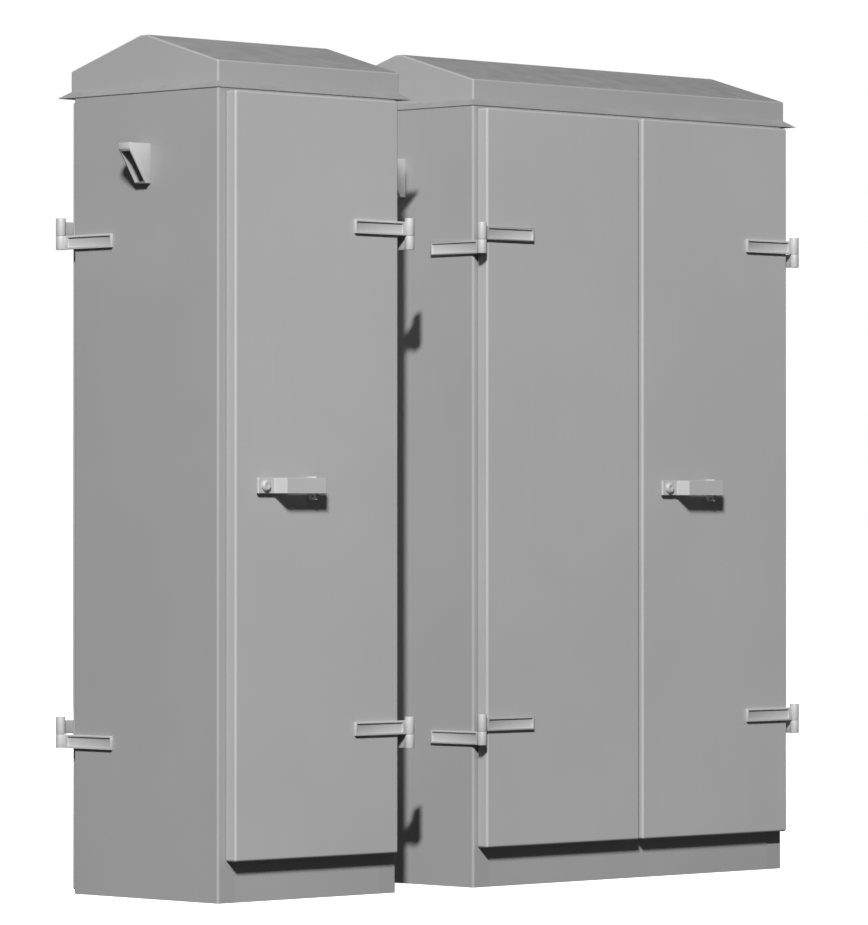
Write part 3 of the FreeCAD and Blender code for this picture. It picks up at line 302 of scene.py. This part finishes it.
FINISH = {
    "cabinet_paint": powder_coat("powder coat on the cabinets",
                                 "#9B9B9B", "#979797", "#7C7C7B", "#888887", 0.5, 0.6),
    # the roofs' darker colours for level faces are painted shade on their slopes
    "roof_paint": powder_coat("powder coat on the roofs",
                              "#9F9F9F", "#9B9B9B", "#777777", "#838383", 0.55, 0.65),
    # the doors' coat is painted lighter than the cabinets': painted light on faces turned to the
    # front, which the key lamp lights less than the side walls
    "door_paint": powder_coat("powder coat on the doors",
                              "#ABABAB", "#A7A7A7", "#7C7C7B", "#888887", 0.48, 0.58),
    "hardware_paint": powder_coat("powder coat on the castings",
                                  "#B5B5B5", "#AFAFAF", "#A0A0A0", "#A8A8A8", 0.42, 0.52),
    "zinc_steel": zinc_plate(),
    "galvanised": hot_dip_zinc(),
    "seal_rubber": door_rubber(),
    "core_steel": laminated_steel(),
    "coil_resin": cast_epoxy(),
    "copper": bare_copper(),
    "insulator_resin": moulding_compound(),
    "breaker_case": moulded_black("moulded breaker case", "#1B1C1E", "#2B2C2E", 0.45, 0.6),
    "toggle_plastic": moulded_black("polished black toggle", "#101010", "#1A1A1B", 0.2, 0.3),
}

# the front frames take the roofs' coat, a little lighter than the cabinets': painted light on their
# faces turned to the front
FRONT_FRAMES_PAINTED_LIGHTER = ("narrow_front_frame", "wide_front_frame")

for name, thing in frame["nodes"].items():
    coat = "roof_paint" if name in FRONT_FRAMES_PAINTED_LIGHTER else SLOT_OF[name]
    thing.data.materials.clear()
    thing.data.materials.append(FINISH[coat])


# ---- worked edges ----

EDGE_SEGMENTS = 2
WELD = 0.001 * MM               # points nearer than this are one point
FLAT = math.radians(0.5)        # faces that meet more flatly than this are one face
SHARP = math.radians(32)        # edges that turn more than this are worked
SMOOTH = math.radians(40)       # edges that turn less than this are shaded smooth


def alone(thing):
    """Select one object and nothing else."""
    bpy.ops.object.select_all(action="DESELECT")
    thing.select_set(True)
    bpy.context.view_layer.objects.active = thing


def worked(name, edge_mm, piece):
    """A copy of a sub-part with its sharp edges rounded off, which is shown in its place."""
    source = frame["nodes"][name]
    alone(source)
    bpy.ops.object.duplicate()
    made = bpy.context.view_layer.objects.active
    made.name = piece
    made.data.name = piece
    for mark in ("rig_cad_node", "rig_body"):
        del made[mark]
    made.parent = None
    bpy.ops.object.mode_set(mode="EDIT")
    bpy.ops.mesh.select_all(action="SELECT")
    bpy.ops.mesh.remove_doubles(threshold=WELD)
    bpy.ops.mesh.dissolve_limited(angle_limit=FLAT)
    bpy.ops.object.mode_set(mode="OBJECT")
    bevel = made.modifiers.new("worked edge", "BEVEL")
    bevel.width = edge_mm * MM
    bevel.segments = EDGE_SEGMENTS
    bevel.limit_method = "ANGLE"
    bevel.angle_limit = SHARP
    bpy.ops.object.modifier_apply(modifier=bevel.name)
    bpy.ops.object.shade_smooth_by_angle(angle=SMOOTH)
    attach(made, BODY_OF[name])
    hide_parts(name)


WORKED = (
    # sub-part, edge in millimetres, name of the finished piece
    ("frame_hinge_leaves", 0.5, "cast_frame_hinge_leaves"),
    ("narrow_front_door_leaves", 0.5, "cast_narrow_front_door_leaves"),
    ("narrow_rear_door_leaves", 0.5, "cast_narrow_rear_door_leaves"),
    ("wide_left_door_leaves", 0.5, "cast_wide_left_door_leaves"),
    ("wide_right_door_leaves", 0.5, "cast_wide_right_door_leaves"),
    ("vent_hoods", 0.6, "folded_vent_hoods"),
    ("narrow_padlock_staple", 1.0, "pressed_narrow_staple"),
    ("wide_padlock_staple", 1.0, "pressed_wide_staple"),
    ("narrow_escutcheon", 0.8, "turned_narrow_escutcheon"),
    ("wide_escutcheon", 0.8, "turned_wide_escutcheon"),
    ("main_breaker", 2.0, "moulded_breaker_case"),
    ("breaker_toggle", 1.2, "moulded_breaker_toggle"),
    ("transformer_coils", 4.0, "cast_coils"),
    ("transformer_core", 0.8, "stacked_core"),
    ("core_clamps", 1.0, "folded_core_clamps"),
    ("low_voltage_busbars", 1.0, "rolled_busbars"),
    ("busbar_supports", 1.5, "moulded_busbar_supports"),
    ("coil_terminals", 0.8, "rolled_coil_terminals"),
    ("earth_bars", 0.8, "rolled_earth_bars"),
    ("link_duct", 0.6, "folded_link_duct"),
)
for name, edge_mm, piece in WORKED:
    worked(name, edge_mm, piece)


# ---- hems under the roofs' lips ----

HEM_SHEET = 1.2 * MM
HEM_CLEAR = 1.5 * MM            # half of it is left free at the lip, and half at the walls


def folded_hem(roof, walls, piece):
    """The lip's sheet turned in at its foot: a flat ring from the lip to just off the walls."""
    (x0, y0, z0), (x1, y1, _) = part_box(roof)
    wall_x0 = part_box(walls)[0][0]
    bpy.ops.object.select_all(action="DESELECT")
    bpy.ops.mesh.primitive_plane_add(size=1, location=((x0 + x1) / 2, (y0 + y1) / 2, z0))
    ring = bpy.context.active_object
    ring.name = piece
    ring.data.name = piece
    ring.scale = (x1 - x0 - HEM_CLEAR, y1 - y0 - HEM_CLEAR, 1)
    bpy.ops.object.transform_apply(location=True, rotation=True, scale=True)
    bpy.ops.object.mode_set(mode="EDIT")
    bpy.ops.mesh.select_all(action="SELECT")
    bpy.ops.mesh.inset(thickness=wall_x0 - x0 - HEM_CLEAR, depth=0)
    bpy.ops.mesh.delete(type="FACE")
    bpy.ops.object.mode_set(mode="OBJECT")
    sheet = ring.modifiers.new("sheet", "SOLIDIFY")
    sheet.thickness = HEM_SHEET
    sheet.offset = 1.0
    bpy.ops.object.modifier_apply(modifier=sheet.name)
    ring.data.materials.append(FINISH["roof_paint"])
    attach(ring, BODY_OF[roof])
    return ring


HEMS = [folded_hem("narrow_roof", "narrow_side_walls", "narrow_roof_hem"),
        folded_hem("wide_roof", "wide_side_walls", "wide_roof_hem")]


# ---- studio ----

FLOOR_SIZE = 400
FLOOR_DROP = 0.5 * MM           # the paper lies this far under the feet
KEY_AIM = (0.0, -0.15, 1.05)
KEY_AWAY = 26.0
KEY_TURN = math.radians(47.7)
KEY_RISE = math.radians(33.5)
KEY_WATTS = 10200
KEY_ACROSS = 3.6                # wide enough for soft edges on the levers' shadows
WALL_KEY_ACROSS = 1.0           # smaller, because its shadows fall from farther off
REAR_PLACE = (7.0, 9.0, 6.0)
REAR_TURN = (math.radians(-62), 0, math.radians(-38))
REAR_WATTS = 1400
REAR_ACROSS = 3.0
SKY = 0.07                      # the surround's strength as a light
CAMERA_PLACE = (-10.3567, -10.4831, 0.9186)
CAMERA_TURN = math.radians(44.594)
CAMERA_TILT = math.radians(0.577)
CAMERA_LENS = 224.62
CAMERA_SENSOR = 36
CAMERA_REACH = 600


def studio_floor():
    """A wide sheet of pale paper, lit through so that the shadows on it stay faint."""
    bpy.ops.mesh.primitive_plane_add(size=FLOOR_SIZE, location=(0, 0, -FLOOR_DROP))
    floor = bpy.context.active_object
    floor.name = "paper_floor"
    material, tree, place = start("pale paper")
    fibre = add(tree, "ShaderNodeTexNoise", {"Vector": place}, Scale=per_metre(400), Detail=2.0)
    surface(tree, {"Base Color": between(tree, fibre.outputs["Fac"], "#D4D4D4", "#DCDCDC")},
            Roughness=1.0, Specular_IOR_Level=0.0, Emission_Color=linear("#FFFFFF"),
            Emission_Strength=1.0)
    floor.data.materials.append(material)
    # the paper's glow is for the eye alone and doesn't light the cabinets from below
    floor.visible_diffuse = False
    floor.visible_glossy = False


def linked_collection(name, things, state):
    """A collection that a lamp is told to leave out, or to keep to."""
    made = bpy.data.collections.new(name)
    for thing in things:
        made.objects.link(thing)
    for entry in made.collection_objects:
        entry.light_linking.link_state = state
    return made


def key_lamp(name, across, state, lit, no_shadow):
    """A round lamp, high beside the camera, for all but the given pieces or for these alone.

    The state is EXCLUDE or INCLUDE; the last pieces throw no shadow in its light.
    """
    spot = (KEY_AIM[0] - KEY_AWAY * math.sin(KEY_TURN) * math.cos(KEY_RISE),
            KEY_AIM[1] - KEY_AWAY * math.cos(KEY_TURN) * math.cos(KEY_RISE),
            KEY_AIM[2] + KEY_AWAY * math.sin(KEY_RISE))
    bpy.ops.object.light_add(type="AREA", location=spot,
                             rotation=(math.pi / 2 - KEY_RISE, 0, -KEY_TURN))
    lamp = bpy.context.active_object
    lamp.name = name
    lamp.data.shape = "DISK"
    lamp.data.size = across
    lamp.data.energy = KEY_WATTS
    linking = lamp.light_linking
    linking.receiver_collection = linked_collection(name + "_lit", lit, state)
    linking.blocker_collection = linked_collection(name + "_no_shadow", no_shadow, "EXCLUDE")


def studio_light():
    """Two key lamps in one place, a weak rear one, and a surround that is bright to the eye."""
    world = bpy.data.worlds.new("pale surround")
    bpy.context.scene.world = world
    world.use_nodes = True
    tree = world.node_tree
    tree.nodes.clear()
    rays = add(tree, "ShaderNodeLightPath")
    dim = add(tree, "ShaderNodeBackground", Color=linear("#FFFFFF"), Strength=SKY)
    bright = add(tree, "ShaderNodeBackground", Color=linear("#FFFFFF"), Strength=1.0)
    both = add(tree, "ShaderNodeMixShader", {0: rays.outputs["Is Camera Ray"],
                                             1: dim.outputs["Background"],
                                             2: bright.outputs["Background"]})
    add(tree, "ShaderNodeOutputWorld", {"Surface": both.outputs["Shader"]})
    narrow_lid = [frame["nodes"]["narrow_roof"], HEMS[0]]
    wide_lid = [frame["nodes"]["wide_roof"], HEMS[1]]
    wide_walls = [frame["nodes"]["wide_side_walls"]]
    # the lips throw no hard band on to the doors and walls below, but the narrow lip's corner
    # still throws its small shadow on the wide cabinet's wall
    key_lamp("key_lamp", KEY_ACROSS, "EXCLUDE", wide_walls, narrow_lid + wide_lid)
    key_lamp("key_lamp_for_wide_walls", WALL_KEY_ACROSS, "INCLUDE", wide_walls, wide_lid)
    # a weak lamp behind the set, so that its rear can be seen too
    bpy.ops.object.light_add(type="AREA", location=REAR_PLACE, rotation=REAR_TURN)
    back = bpy.context.active_object
    back.name = "rear_lamp"
    back.data.shape = "DISK"
    back.data.size = REAR_ACROSS
    back.data.energy = REAR_WATTS
    back.visible_glossy = False


def studio_camera():
    """A long lens at chest height, off the left front corner."""
    bpy.ops.object.camera_add(location=CAMERA_PLACE,
                              rotation=(math.pi / 2 + CAMERA_TILT, 0, -CAMERA_TURN))
    camera = bpy.context.active_object
    camera.name = "studio_camera"
    camera.data.lens = CAMERA_LENS
    camera.data.sensor_width = CAMERA_SENSOR
    camera.data.clip_end = CAMERA_REACH
    bpy.context.scene.camera = camera


studio_floor()
studio_light()
studio_camera()
bpy.context.scene.view_settings.view_transform = "Standard"
